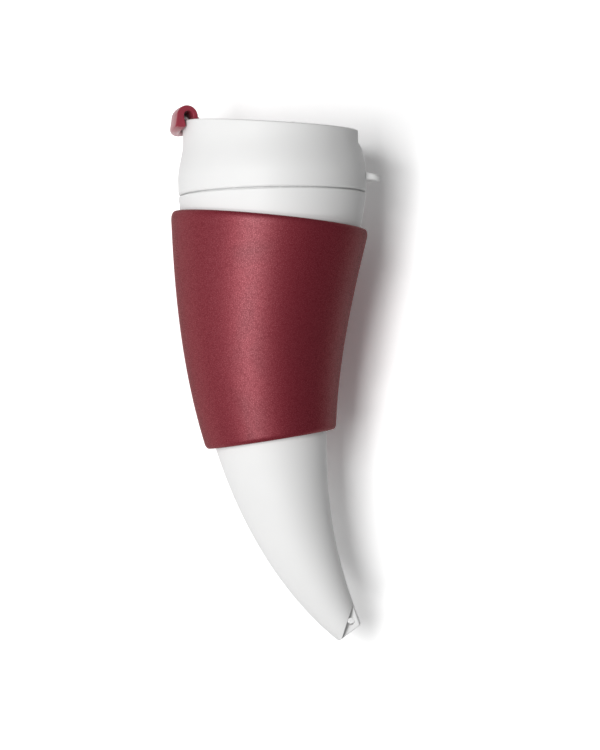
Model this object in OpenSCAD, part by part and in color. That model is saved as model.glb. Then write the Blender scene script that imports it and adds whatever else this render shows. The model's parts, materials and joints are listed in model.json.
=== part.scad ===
// Horn-shaped travel cup: a curved, tapering horn with a press-on lid, a flip-up sip lever
// and a leather grip sleeve that draws off over the tip.
// Millimetres. +Z runs up the mouth's axis, and +X is the side that the tip bends to.
// The origin lies on the mouth's axis at the middle of the grip, and heights named *_h are
// counted from the shoulder of the horn, which the lid meets.

/* [Horn] */
// Outside radius of the horn at its shoulder
mouth_r = 44; // [40:0.5:48]
// Length of the horn along its curved axis, from the shoulder to the cut tip
horn_len = 213; // [190:1:235]
// Length that the taper would need past the cut tip to come to a point
point_run = 18.2; // [14:0.1:26]
// Power of the taper: 1 is a straight cone, less is fuller in the middle
taper_power = 0.747; // [0.65:0.001:0.9]
// Lean of the axis at the shoulder, in degrees from straight down
mouth_lean = -7; // [-9:0.5:-3]
// Lean of the axis at the tip, in degrees from straight down
tip_lean = 36; // [28:0.5:42]
// Power by which the lean grows along the axis
bend_power = 1.71; // [1.5:0.01:2]
// Wall of the horn
horn_wall = 2.2; // [1.6:0.1:3]
// Length of solid plastic between the drink and the cut tip
tip_solid = 26; // [22:0.5:36]
// Height of the shoulder above the origin
mouth_z = 63; // [50:1:75]

/* [Neck] */
// Height of the neck that the lid covers
neck_h = 11; // [9:0.5:13]
// Wall of the neck
neck_wall = 2; // [1.6:0.1:2.6]

/* [Strap lug] */
// Thickness of the flat lug at the tip
lug_t = 6; // [4:0.5:8]
// Distance that the lug reaches back along the inside of the bend
lug_back = 10.4; // [9:0.1:13]
// Distance past the axis, on the outside of the bend, where the lug starts at the cut
lug_in = 4.8; // [4:0.1:6]
// Radius of the strap hole
strap_hole_r = 1.65; // [1.2:0.05:2]
// Distance of the strap hole from the cut
strap_hole_back = 3.95; // [3.5:0.05:5]
// Distance of the strap hole from the axis, towards the inside of the bend
strap_hole_in = 3.75; // [3:0.05:4]

/* [Lid] */
// Height of the rim over the shoulder, on the mouth's axis
lid_h = 31.9; // [30:0.1:36]
// Slope of the rim in degrees, with the sip side higher
rim_slope = 4.4; // [2:0.1:6]
// Dip of the rim at the two sides
rim_dip = 1.6; // [0.8:0.1:2.4]
// Wall of the skirt around the neck
skirt_wall = 2.2; // [1.8:0.1:2.6]
// Wall of the lid above the neck
rim_wall = 2.2; // [1.8:0.1:2.6]
// Distance that the lid draws in from the skirt to its waist
waist_in = 2.7; // [2:0.1:3.4]
// Height where the skirt starts to draw in
skirt_h = 8; // [4:0.5:10]
// Height of the waist
waist_h = 26; // [22:0.5:28]
// Distance that the rim flares out again over the waist
lip_out = 0.5; // [0.2:0.1:0.8]
// Depth of the deck below the rim
deck_depth = 9; // [8:0.1:10]
// Thickness of the deck
deck_t = 2; // [1.6:0.1:2.6]
// Visible gap between the lid and the shoulder
seam_gap = 0.6; // [0.4:0.1:1]
// Depth of the plug ring inside the neck
plug_depth = 9; // [7.5:0.5:10]
// Wall of the plug ring
plug_wall = 2.4; // [2:0.1:3]
// Gap between the plug ring and the neck, which the gasket fills
plug_gap = 1.35; // [1:0.05:1.8]
// Radius of the air vent in the deck
vent_r = 1; // [0.6:0.1:1.5]
// Radius of the sip hole
sip_hole_r = 5.5; // [4.5:0.1:6]
// Distance of the sip hole's middle from the outside of the waist
sip_hole_in = 13.3; // [12.3:0.1:15]

/* [Pull tab] */
// Distance that the tab stands out of the skirt
tab_out = 6.7; // [5:0.1:9]
// Width of the tab
tab_w = 13; // [10:0.5:18]
// Round of the tab's two outer corners, seen from above
tab_corner = 3; // [1.5:0.5:4.5]
// Height of the tab where it leaves the skirt
tab_h = 7.8; // [6.5:0.1:9]
// Slope of the tab in degrees, falling outwards
tab_slope = 9; // [0:0.5:15]
// Thickness of the tab at its root
tab_root_t = 3.3; // [2.8:0.1:3.8]
// Thickness of the tab at its round end
tab_end_t = 2.9; // [2:0.1:2.9]
// Depth of the thumb flat above the tab, from the waist
flat_in = 0.9; // [0.5:0.1:1.3]
// Height of the thumb flat's lower edge
flat_h = 22.6; // [18:0.1:24]

/* [Gasket] */
// Height of the gasket
gasket_t = 4; // [3:0.1:4.6]
// Depth of the gasket's groove in the plug ring
groove_depth = 1; // [0.6:0.1:1.3]

/* [Sip lever] */
// Distance of the lever's pin behind the mouth's axis
pivot_back = 10; // [6:0.5:13]
// Distance of the lever's pin below the rim's height
pivot_drop = 2; // [1.5:0.1:3]
// Width of the lever's arm
arm_w = 16; // [14:0.5:18]
// Thickness of the lever's arm
arm_t = 3; // [2.4:0.1:3.4]
// Angle that the thumb hook spans round the lid
hook_angle = 46; // [36:1:50]
// Wall of the hook inside the rim
hook_in_t = 2.4; // [2:0.1:3]
// Wall of the hook over the rim
hook_top_t = 2.5; // [2:0.1:3.2]
// Wall of the hook outside the rim
hook_out_t = 3.4; // [2.8:0.1:4]
// Gap between the hook and the rim's outside
hook_gap = 1.3; // [1:0.1:1.8]
// Air between the rim and the hook's arch
arch_gap = 3.6; // [3:0.1:4.5]
// Length that the hook's tongue hangs below the rim, in its middle
tongue_drop = 6; // [4:0.1:6.5]
// Rise of the tongue's lower edge from its middle to its two sides
tongue_bow = 2.6; // [1:0.1:3.5]
// Distance that the tongue turns in towards the lid at its foot
toe_in = 0.7; // [0.3:0.1:0.8]
// Distance that the tongue flares out at its foot
toe_out = 0.8; // [0.2:0.1:1.2]
// Radius of the pin
pin_r = 1.5; // [1.2:0.05:1.8]
// Wall of the lever's barrel round the pin
barrel_wall = 1.7; // [1.4:0.1:2]
// Thickness of each ear that carries the pin
ear_t = 3; // [2.4:0.1:3.6]

/* [Sleeve] */
// Distance from the shoulder to the top of the sleeve, along the axis
sleeve_top = 12; // [11:0.5:18]
// Length of the sleeve along the axis
sleeve_len = 102.3; // [90:0.1:110]
// Thickness of the leather
leather_t = 2.85; // [2.4:0.05:3.4]
// Length over which the leather's edges round off
leather_edge = 2.2; // [1.4:0.1:3]
// Thickness of the lining
lining_t = 1; // [0.6:0.1:1.4]
// Open gap between the leather's two edges at the back seam
seam_w = 0.5; // [0.3:0.1:0.8]
// Radius of the seam thread
thread_r = 0.45; // [0.3:0.05:0.6]
// Length of a stitch across the seam
stitch_w = 6; // [5:0.5:8]
// Distance from stitch to stitch along the seam
stitch_pitch = 4.6; // [4:0.1:6]

/* [Clearances] */
// Gap between the neck and the skirt
lid_clear = 0.25; // [0.2:0.05:0.4]
// Gap between the gasket's lips and the neck
gasket_clear = 0.15; // [0.12:0.01:0.25]
// Gap between the pin and the lever's barrel
pin_clear = 0.05; // [0.02:0.01:0.08]
// Gap on each side of the lever's arm between the ears
ear_clear = 0.3; // [0.2:0.05:0.5]
// Gap between the hook's inner leg and the rim
leg_clear = 0.45; // [0.4:0.05:0.8]
// Gap between the sip plug and its hole
sip_clear = 0.7; // [0.6:0.05:1]
// Gap between the horn and the sleeve's lining
sleeve_clear = 0.3; // [0.25:0.05:0.5]
// Layer of glue between the lining and the leather
glue_t = 0.15; // [0.12:0.01:0.25]

/* [Hidden] */

white = "#f2f2f0";
red = "#8a1f33";
$fn = 64;

// Overrun of a cut past the face that it goes through
over = 1;
// Reach of a cutting block past the whole lid
span = 3 * mouth_r;

// Facets round the horn, rings along it and steps of its axis, profiles and arcs
facets = 56;
horn_rings = 30;
cavity_rings = 22;
sleeve_rings = 12;
edge_steps = 3;
axis_steps = 40;
profile_steps = 12;
arc_steps = 12;

// Length over which the ring planes swing from level at the shoulder to square with the axis
settle_len = 10;
// Round of the shoulder's outer edge, of the neck's top edges and length of the cavity's round end
shoulder_round = 0.8;
neck_round = 0.5;
cavity_end = 12;

// Derived radii of the neck and of what fits round and inside it
neck_r = mouth_r - skirt_wall - lid_clear;
neck_in_r = neck_r - neck_wall;
skirt_in_r = mouth_r - skirt_wall;
plug_r = neck_in_r - plug_gap;
plug_in_r = plug_r - plug_wall;
groove_r = plug_r - groove_depth;
waist_r = mouth_r - waist_in;

// Derived heights of the lid
seat_t = skirt_wall;
plug_h = neck_h - plug_depth;
groove_h = plug_h + (plug_depth - gasket_t) / 2;
pivot_h = lid_h - pivot_drop;
lid_top_h = lid_h + mouth_r * tan(rim_slope) + over;
skirt_chamfer = skirt_wall / 3;
vent_back = (pivot_back + waist_r) / 2;
sip_hole_out = waist_r - sip_hole_in;

// Derived sizes of the lever
barrel_r = pin_r + barrel_wall;
leg_r = waist_r - rim_wall - leg_clear;
rim_sip_h = rim_h(-waist_r);
hook_in_r = leg_r - hook_in_t;
hook_gap_r = waist_r + lip_out + hook_gap;
hook_r = hook_gap_r + hook_out_t;
arch_h = rim_sip_h + arch_gap;
tongue_h = rim_sip_h - tongue_drop;
pin_len = arm_w + 2 * (ear_clear + ear_t);
stem_r = sip_hole_r / 3;
head_share = 1.7;
head_r = head_share * stem_r;
head_t = arm_t / 3;
plug_flange_r = sip_hole_r + rim_wall / 2;
plug_boss_r = sip_hole_r - sip_clear;
plug_rest = leg_clear / 2;

// Derived places along the sleeve
sleeve_end = sleeve_top + sleeve_len;
leather_in = sleeve_clear + lining_t + glue_t;
leather_out = leather_in + leather_t;
lining_edge = leather_t;

// Lean of the horn's axis, its radius and the tilt of its ring planes at a length along the axis
function lean(s) = mouth_lean + (tip_lean - mouth_lean) * pow(s / horn_len, bend_power);
function horn_r(s) = mouth_r * pow(1 - s / (horn_len + point_run), taper_power);
function ease(t) = t >= 1 ? 1 : t * t * (3 - 2 * t);
function tilt(s) = lean(s) * ease(s / settle_len);

// Point of the axis, summed from short steps along the lean
function axis(s) =
    let (ones = [for (i = [1:axis_steps]) 1],
         steps = [for (i = [1:axis_steps])
                  let (a = lean(s * (i - 1 / 2) / axis_steps)) [sin(a), 0, -cos(a)]])
    [0, 0, mouth_z] + s / axis_steps * (ones * steps);

// Ring of points of a given radius round the axis
function ring(s, r) =
    let (c = axis(s), t = tilt(s))
    [for (k = [0:facets - 1]) let (u = 360 * k / facets)
     c + r * [cos(u) * cos(t), sin(u), cos(u) * sin(t)]];

// Level ring round the mouth's axis, at a height over the shoulder
function level_ring(h, r) =
    [for (k = [0:facets - 1]) let (u = 360 * k / facets)
     [r * cos(u), r * sin(u), mouth_z + h]];

// Triangles between loops of m points, n loops in a row
function loft_sides(n, m) =
    [for (i = [0:n - 2]) for (j = [0:m - 1])
     let (a = i * m + j, b = i * m + (j + 1) % m)
     each [[a, b, a + m], [b, b + m, a + m]]];

// Solid through a row of loops whose first and last loop are flat
module loft(loops) {
    n = len(loops);
    m = len(loops[0]);
    first_cap = [for (j = [m - 1:-1:0]) j];
    last_cap = [for (j = [0:m - 1]) (n - 1) * m + j];
    polyhedron([for (l = loops) each l], concat(loft_sides(n, m), [first_cap, last_cap]));
}

// Radius of the drink's cavity, which is never wider than the neck and ends in a round
function cavity_r(s) =
    let (stop = horn_len - tip_solid,
         free = min(horn_r(s) - horn_wall, neck_in_r),
         t = max(0, (s - stop + cavity_end) / cavity_end))
    free * sqrt(max(0, 1 - t * t));

// The horn with its shoulder, neck and cavity, before the lug is cut
module horn_blank() {
    round_out = [for (i = [1:edge_steps]) 90 * i / edge_steps];
    outside = [for (i = [0:horn_rings])
               let (s = shoulder_round + (horn_len - shoulder_round) * (1 - i / horn_rings))
               ring(s, horn_r(s))];
    shoulder = [for (a = round_out)
                let (s = shoulder_round * (1 - sin(a)))
                ring(s, horn_r(s) - shoulder_round * (1 - cos(a)))];
    neck = [level_ring(0, neck_r),
            level_ring(neck_h - neck_round, neck_r),
            level_ring(neck_h, neck_r - neck_round),
            level_ring(neck_h, neck_in_r + neck_round),
            level_ring(neck_h - neck_round, neck_in_r)];
    last_share = 0.985;
    deep = horn_len - tip_solid - cavity_end * (1 - last_share);
    cavity = [for (i = [0:cavity_rings])
              let (s = deep * sin(90 * i / cavity_rings))
              ring(s, cavity_r(s))];
    loft(concat(outside, shoulder, neck, cavity));
}

// Frame of the cut tip: X to the inside of the bend, Y back along the axis, Z across
module at_tip() {
    translate(axis(horn_len)) rotate([0, -tip_lean, 0]) rotate([90, 0, 0]) children();
}

// One side of the lug: what is cut away beside the flat, from the slanting step outwards
module lug_side() {
    step_in = horn_r(horn_len - lug_back);
    reach = 2 * lug_back;
    slope = (step_in + lug_in) / lug_back;
    translate([0, 0, lug_t / 2])
        linear_extrude(mouth_r)
            polygon([[-lug_in - slope * over, -over], [reach, -over],
                     [reach, (reach + lug_in) / slope]]);
}

module horn_body() {
    color(white) difference() {
        horn_blank();
        at_tip() {
            lug_side();
            mirror([0, 0, 1]) lug_side();
            translate([strap_hole_in, strap_hole_back, -mouth_r])
                cylinder(r = strap_hole_r, h = 2 * mouth_r);
        }
    }
}

// Height of the rim's middle line at a distance along X
function rim_h(x) = lid_h - x * tan(rim_slope);

// Outside radius of the lid at a height: skirt, draw to the waist and flare of the lip
function lid_r(h) =
    h <= skirt_h ? mouth_r
    : h <= waist_h ? mouth_r - waist_in * ease((h - skirt_h) / (waist_h - skirt_h))
    : waist_r + lip_out * pow((h - waist_h) / (lid_top_h - waist_h), 2);

// Side of the lid as points from a low to a high height, drawn in by a wall
function lid_side(low, high, wall) =
    [for (i = [0:profile_steps])
     let (h = low + (high - low) * i / profile_steps) [lid_r(h) - wall, h]];

// Block above or below a slanting plane through a height on the mouth's axis
module slant_block(h, up) {
    translate([0, 0, h]) rotate([0, rim_slope, 0])
        translate([-span, -span, up ? 0 : -2 * span]) cube(2 * span);
}

// Everything under the rim, which slopes from the sip side and dips at the two sides
module under_rim() {
    r = pow(waist_r, 2) / (2 * rim_dip);
    translate([0, 0, lid_h]) rotate([0, rim_slope, 0])
        translate([-span, 0, -r]) rotate([0, 90, 0])
            cylinder(r = r, h = 2 * span, $fn = 128);
}

// Revolved bodies of the lid, cut by its slanting planes
module lid_wall() {
    intersection() {
        rotate_extrude()
            polygon(concat([[0, seam_gap], [mouth_r - skirt_chamfer, seam_gap],
                            [mouth_r, seam_gap + skirt_chamfer]],
                           lid_side(skirt_h, waist_h, 0),
                           lid_side(waist_h + over, lid_top_h, 0), [[0, lid_top_h]]));
        under_rim();
    }
}

module lid_recess() {
    intersection() {
        rotate_extrude()
            polygon(concat([[0, neck_h]], lid_side(neck_h, waist_h, rim_wall),
                           [[waist_r - rim_wall, lid_top_h + over], [0, lid_top_h + over]]));
        slant_block(lid_h - deck_depth, true);
    }
}

module lid_hollow() {
    floor_h = neck_h + seat_t;
    intersection() {
        rotate_extrude()
            polygon(concat([[0, floor_h]], lid_side(floor_h, waist_h, rim_wall),
                           [[waist_r - rim_wall, lid_top_h], [0, lid_top_h]]));
        slant_block(lid_h - deck_depth - deck_t, false);
    }
    cylinder(r = plug_in_r, h = floor_h + over);
}

// Room for the neck between the skirt and the plug ring, and the gasket's groove
module neck_channel() {
    difference() {
        cylinder(r = skirt_in_r, h = neck_h);
        translate([0, 0, plug_h]) cylinder(r = plug_r, h = neck_h);
    }
    difference() {
        translate([0, 0, groove_h]) cylinder(r = neck_in_r, h = gasket_t);
        cylinder(r = groove_r, h = neck_h);
    }
}

// Side of the pull tab, which thins a little to a round end
module tab_side() {
    end_r = tab_end_t / 2;
    polygon([[-skirt_wall, -tab_root_t / 2], [tab_out - end_r, -end_r],
             [tab_out - end_r, end_r], [-skirt_wall, tab_root_t / 2]]);
    translate([tab_out - end_r, 0]) circle(end_r);
}

// Plan of the pull tab, with its two outer corners rounded
module tab_plan() {
    middle_w = tab_w - 2 * tab_corner;
    translate([-skirt_wall, -tab_w / 2]) square([skirt_wall + tab_out - tab_corner, tab_w]);
    translate([-skirt_wall, -middle_w / 2]) square([skirt_wall + tab_out, middle_w]);
    for (side = [-1, 1])
        translate([tab_out - tab_corner, side * middle_w / 2]) circle(tab_corner);
}

// Tab that slopes down out of the skirt
module pull_tab() {
    difference() {
        translate([mouth_r, 0, tab_h]) rotate([0, tab_slope, 0]) intersection() {
            translate([0, tab_w / 2, 0]) rotate([90, 0, 0]) linear_extrude(tab_w) tab_side();
            translate([0, 0, -tab_root_t]) linear_extrude(2 * tab_root_t) tab_plan();
        }
        translate([0, 0, -lid_h]) cylinder(r = mouth_r - skirt_wall / 2, h = 3 * lid_h);
    }
}

// What is cut off for the thumb flat, down to a ledge that slants outwards
module thumb_flat() {
    flat_r = waist_r - flat_in;
    ledge = mouth_r - flat_r;
    translate([0, mouth_r, 0]) rotate([90, 0, 0])
        linear_extrude(2 * mouth_r)
            polygon([[flat_r, lid_top_h], [flat_r, flat_h],
                     [flat_r + ledge, flat_h - ledge], [span, flat_h - ledge], [span, lid_top_h]]);
}

// Two ears on the deck that carry the lever's pin
module pin_ears() {
    foot_h = rim_h(pivot_back) - deck_depth - deck_t / 2;
    for (side = [-1, 1])
        translate([pivot_back, side * (arm_w / 2 + ear_clear + ear_t / 2), 0])
            rotate([90, 0, 0]) difference() {
                translate([0, 0, -ear_t / 2]) union() {
                    translate([-barrel_r, foot_h, 0])
                        cube([2 * barrel_r, pivot_h - foot_h, ear_t]);
                    translate([0, pivot_h, 0]) cylinder(r = barrel_r, h = ear_t);
                }
                translate([0, pivot_h, -ear_t]) cylinder(r = pin_r, h = 2 * ear_t);
            }
}

// Lifts a piece that is drawn from the shoulder to its place over the origin
module on_shoulder() {
    translate([0, 0, mouth_z]) children();
}

module lid_shell() {
    color(white) on_shoulder() {
        difference() {
            union() {
                lid_wall();
                pull_tab();
            }
            lid_recess();
            lid_hollow();
            neck_channel();
            translate([-sip_hole_out, 0, neck_h]) cylinder(r = sip_hole_r, h = lid_h);
            translate([vent_back, 0, neck_h]) cylinder(r = vent_r, h = lid_h);
            thumb_flat();
        }
        pin_ears();
    }
}

// Seal ring with two lips that wipe the inside of the neck
module lid_gasket() {
    lip_r = neck_in_r - gasket_clear;
    waist = plug_r + (lip_r - plug_r) / 3;
    lip_t = gasket_t / 4;
    color("#d8d6d0") on_shoulder() translate([0, 0, groove_h])
        rotate_extrude()
            polygon([[groove_r, 0], [plug_r, 0], [lip_r, lip_t / 2], [lip_r, lip_t],
                     [waist, 2 * lip_t], [lip_r, gasket_t - lip_t],
                     [lip_r, gasket_t - lip_t / 2], [plug_r, gasket_t], [groove_r, gasket_t]]);
}

// Points of an arc round a centre, from one angle to another
function arc(c, r, from, to) =
    [for (i = [0:arc_steps]) let (a = from + (to - from) * i / arc_steps) c + r * [cos(a), sin(a)]];

// Section of the hook: a leg inside the rim, an arch over it and a tongue that thickens to a round toe
module hook_section() {
    foot_h = pivot_h - arm_t / 2;
    out_arch = (hook_r - hook_in_r) / 2;
    in_arch = (hook_gap_r - leg_r) / 2;
    toe_r = (hook_out_t + toe_in + toe_out) / 2;
    polygon(concat([[hook_in_r, foot_h]],
                   arc([hook_in_r + out_arch, arch_h + hook_top_t - out_arch], out_arch, 180, 0),
                   arc([hook_gap_r - toe_in + toe_r, tongue_h + toe_r], toe_r, 0, -180),
                   arc([leg_r + in_arch, arch_h - in_arch], in_arch, 0, 180),
                   [[leg_r, foot_h]]));
}

// The section swept round the lid, with the tongue's lower edge bowed by a wide cylinder
module sip_hook() {
    under_arch_r = (leg_r + hook_gap_r) / 2;
    half_w = hook_r * sin(hook_angle / 2);
    bow_r = (pow(half_w, 2) + pow(tongue_bow, 2)) / (2 * tongue_bow);
    intersection() {
        rotate([0, 0, 180 - hook_angle / 2]) rotate_extrude(angle = hook_angle) hook_section();
        union() {
            cylinder(r = under_arch_r, h = span);
            translate([0, 0, tongue_h + bow_r]) rotate([0, -90, 0])
                cylinder(r = bow_r, h = span, $fn = 128);
        }
    }
}

module sip_lever() {
    foot_h = pivot_h - arm_t / 2;
    color(red) on_shoulder() difference() {
        union() {
            sip_hook();
            translate([-hook_in_r - hook_in_t / 3, -arm_w / 2, foot_h])
                cube([hook_in_r + pivot_back, arm_w, arm_t]);
            translate([pivot_back, arm_w / 2, pivot_h]) rotate([90, 0, 0])
                cylinder(r = barrel_r, h = arm_w);
        }
        translate([pivot_back, arm_w, pivot_h]) rotate([90, 0, 0])
            cylinder(r = pin_r + pin_clear, h = 2 * arm_w);
        translate([-sip_hole_out, 0, foot_h - over]) cylinder(r = stem_r, h = arm_t + 2 * over);
    }
}

// Soft stopper buttoned through the lever's arm, hanging into the sip hole
module sip_plug() {
    foot_h = pivot_h - arm_t / 2;
    deck_h = rim_h(-sip_hole_out) - deck_depth;
    flange_h = rim_h(-sip_hole_out - plug_flange_r) - deck_depth + plug_rest;
    color(red) on_shoulder() translate([-sip_hole_out, 0, 0]) {
        translate([0, 0, deck_h - deck_t]) cylinder(r = plug_boss_r, h = foot_h - deck_h + deck_t);
        translate([0, 0, flange_h]) cylinder(r = plug_flange_r, h = foot_h - flange_h);
        translate([0, 0, foot_h]) cylinder(r = stem_r, h = arm_t);
        translate([0, 0, foot_h + arm_t])
            cylinder(r1 = head_r, r2 = stem_r, h = head_t);
    }
}

module lever_pin() {
    color("#b9bcc0") on_shoulder()
        translate([pivot_back, pin_len / 2, pivot_h]) rotate([90, 0, 0])
            cylinder(r = pin_r, h = pin_len);
}

// Round turn of the leather's edge, as [length along the axis, height over the horn]
function edge_turn(s, way) =
    let (mid = (leather_in + leather_out) / 2)
    [for (i = [1:edge_steps]) let (a = 180 * i / (edge_steps + 1))
     [s + way * leather_edge * sin(a), mid - way * leather_t / 2 * cos(a)]];

// Closed section of the leather's wall: up the outside, over the top, down the inside
function leather_section() =
    let (low = sleeve_end - leather_edge, high = sleeve_top + leather_edge,
         rise = [for (i = [0:sleeve_rings]) low + (high - low) * i / sleeve_rings])
    concat([for (s = rise) [s, leather_out]], edge_turn(high, -1),
           [for (i = [sleeve_rings:-1:0]) [rise[i], leather_in]], edge_turn(low, 1));

// Places a wall section at angles round the horn
function wall_loops(section, angles) =
    let (frames = [for (p = section) [axis(p[0]), tilt(p[0]), horn_r(p[0]) + p[1]]])
    [for (u = angles) [for (f = frames)
     f[0] + f[2] * [cos(u) * cos(f[1]), sin(u), cos(u) * sin(f[1])]]];

// Triangles across an end of the wall's section, from the middle of its lower edge to its upper
function end_strip(m, start) =
    [for (j = [0:m / 2 - 1])
     let (a = (start + j) % m, b = (a + 1) % m, c = (start + m - j) % m, d = (c + m - 1) % m)
     each [if (b != d) [a, d, b], if (a != c) [a, c, d]]];

// One sheet of leather wrapped round the horn, with its two edges meeting at the back
module leather_sleeve() {
    section = leather_section();
    m = len(section);
    gap_angle = asin(seam_w / 2 / horn_r(sleeve_end));
    sweep = 360 - 2 * gap_angle;
    loops = wall_loops(section, [for (k = [0:facets]) 90 + gap_angle + sweep * k / facets]);
    first = end_strip(m, m - (edge_steps + 1) / 2);
    last = [for (t = first) [for (i = [2:-1:0]) facets * m + t[i]]];
    color(red) polyhedron([for (l = loops) each l],
                          concat(loft_sides(facets + 1, m), first, last));
}

// Thin lining glued inside the leather, set back from its two edges
module sleeve_lining() {
    low = sleeve_end - lining_edge;
    high = sleeve_top + lining_edge;
    rise = [for (i = [0:sleeve_rings]) low + (high - low) * i / sleeve_rings];
    section = concat([for (s = rise) [s, sleeve_clear + lining_t]],
                     [for (i = [sleeve_rings:-1:0]) [rise[i], sleeve_clear]]);
    m = len(section);
    loops = wall_loops(section, [for (k = [0:facets - 1]) 360 * k / facets]);
    closing = [for (j = [0:m - 1])
               let (a = (facets - 1) * m + j, b = (facets - 1) * m + (j + 1) % m)
               each [[a, b, j], [b, (j + 1) % m, j]]];
    color("#4a1620") polyhedron([for (l = loops) each l],
                                concat(loft_sides(facets, m), closing));
}

// Round bar between two points, with round ends
module thread_bar(p, q) {
    way = q - p;
    translate(p) rotate([0, acos(way[2] / norm(way)), atan2(way[1], way[0])]) {
        cylinder(r = thread_r, h = norm(way), $fn = 24);
        sphere(thread_r, $fn = 24);
        translate([0, 0, norm(way)]) sphere(thread_r, $fn = 24);
    }
}

// Point over the leather at a length along the axis and a distance from the back seam
function seam_point(s, side) =
    let (r = horn_r(s) + leather_out, lift = thread_r + pow(stitch_w / 2, 2) / r,
         u = 90 + side * asin(stitch_w / 2 / r), t = tilt(s))
    axis(s) + (r + lift) * [cos(u) * cos(t), sin(u), cos(u) * sin(t)];

// Slanting stitches across the back seam
module seam_thread() {
    first = sleeve_top + stitch_pitch;
    count = floor((sleeve_len - 2 * stitch_pitch) / stitch_pitch);
    slant = stitch_pitch / 2;
    color("#6d1626") for (i = [0:count - 1])
        thread_bar(seam_point(first + i * stitch_pitch, -1),
                   seam_point(first + i * stitch_pitch + slant, 1));
}

horn_body();
lid_shell();
lid_gasket();
sip_lever();
sip_plug();
lever_pin();
leather_sleeve();
sleeve_lining();
seam_thread();
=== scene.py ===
# %% [markdown]
# # A horn-shaped travel cup
# The cup is a curved, tapering horn of white plastic. A lid presses onto its mouth, a red lever on
# the lid opens the sip hole, and a leather sleeve is drawn over the horn as a grip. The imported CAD
# model is the fixed frame here: each piece below is a finer mesh that stands for a CAD node, in the
# same place and at the same size. Lengths are metres, and the photograph looks along +Y.

# %% Load the frame
import json
import math

import bmesh
import bpy
import numpy as np
from mathutils import Matrix, Vector


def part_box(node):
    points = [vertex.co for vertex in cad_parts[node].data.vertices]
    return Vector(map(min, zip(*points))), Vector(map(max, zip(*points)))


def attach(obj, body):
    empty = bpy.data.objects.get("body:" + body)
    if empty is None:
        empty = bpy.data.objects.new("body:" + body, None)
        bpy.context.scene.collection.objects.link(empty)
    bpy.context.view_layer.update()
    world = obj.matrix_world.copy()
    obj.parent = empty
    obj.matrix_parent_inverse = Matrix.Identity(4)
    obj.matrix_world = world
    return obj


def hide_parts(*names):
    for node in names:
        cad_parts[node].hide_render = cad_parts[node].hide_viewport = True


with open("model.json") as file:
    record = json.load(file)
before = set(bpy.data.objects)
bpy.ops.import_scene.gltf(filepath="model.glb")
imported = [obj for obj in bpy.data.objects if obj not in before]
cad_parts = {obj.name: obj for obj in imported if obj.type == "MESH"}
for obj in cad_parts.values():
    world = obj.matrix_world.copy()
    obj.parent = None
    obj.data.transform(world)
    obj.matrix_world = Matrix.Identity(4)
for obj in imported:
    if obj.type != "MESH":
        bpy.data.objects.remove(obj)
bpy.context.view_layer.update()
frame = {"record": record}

scene = bpy.context.scene

# %% [markdown]
# ## Camera
# The photograph shows the cup from the side, about a metre away and turned a little anticlockwise.
# A long lens keeps the perspective as flat as it is there. The focal length is given in pixels of
# the picture, and Blender wants millimetres on a sensor whose width lies along the longer side.

# %% Camera
view_place = (0.0111, -1.030, -0.0213)
view_roll = math.radians(1.22)
focal_px = 2200
picture_long_px = 750

camera_data = bpy.data.cameras.new("camera")
camera_data.lens = camera_data.sensor_width * focal_px / picture_long_px
camera = bpy.data.objects.new("camera", camera_data)
camera.location = view_place
camera.rotation_euler = (math.pi / 2, view_roll, 0)
scene.collection.objects.link(camera)
scene.camera = camera
scene.view_settings.view_transform = "Standard"
print("lens:", round(camera_data.lens, 1), "mm")

# %% [markdown]
# ## Light and the pale floor
# The cup lies on a white sheet and is seen from straight above, so in the cup's own frame the floor
# stands upright behind it and leans a little, because the cup is wider at the mouth. A tall softbox
# to the left of the camera gives the band of sheen on the leather and the soft shadow on the right,
# a small one lower down widens that band, and a weak one further round fills the left side. The
# sheet ends just outside the picture, so that the leather's right side mirrors the darker studio.
# It works like a light table: a last box behind it shines through and lights the cup's back. From
# behind, the sheet is see-through, because a view of the back has to look past it.

# %% Softboxes and world
lamp_aim = (0, 0, -0.02)
softboxes = {  # name: place, width and height, power in watts
    "key_softbox": ((-0.44, -1.43, 0.08), (0.45, 0.7), 13.9),
    "low_softbox": ((-0.64, -1.25, -0.6), (0.30, 0.30), 4.2),
    "side_softbox": ((-1.35, -0.63, 0.00), (1.0, 1.2), 2.5),
    "table_light": ((0, 1.5, 0), (2.0, 2.0), 3),
}
world_grey = (0.18, 0.18, 0.18, 1)

for name, (place, size, power) in softboxes.items():
    data = bpy.data.lights.new(name, "AREA")
    data.shape = "RECTANGLE"
    data.size, data.size_y = size
    data.energy = power
    lamp = bpy.data.objects.new(name, data)
    lamp.location = place
    lamp.rotation_euler = (Vector(lamp_aim) - Vector(place)).to_track_quat("-Z", "Y").to_euler()
    lamp.visible_camera = False
    scene.collection.objects.link(lamp)

world = bpy.data.worlds.new("studio")
world.use_nodes = True
world.node_tree.nodes["Background"].inputs["Color"].default_value = world_grey
scene.world = world
print("lamps:", list(softboxes))

# %% Shader helpers
def node(tree, kind, sockets=None, **settings):
    """A shader node: sockets takes a value or another node's output for each input."""
    made = tree.nodes.new("ShaderNode" + kind)
    for name, value in settings.items():
        setattr(made, name, value)
    for name, value in (sockets or {}).items():
        if isinstance(value, bpy.types.NodeSocket):
            tree.links.new(value, made.inputs[name])
        else:
            made.inputs[name].default_value = value
    return made


def calc(tree, one, other, operation="ADD"):
    """A value worked out from two others. For masks, MAXIMUM means one or the other."""
    return node(tree, "Math", {0: one, 1: other}, operation=operation).outputs[0]


# %% White sheet
rest_y, rest_z = 0.0480, 0.0500
sheet_lean = math.tan(math.radians(2.0))
sheet_left, sheet_right, sheet_tall = -0.6, 0.168, 0.5
sheet_white = (0.80, 0.80, 0.80, 1)
shown_white = (1.42, 1.42, 1.42, 1)

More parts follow.
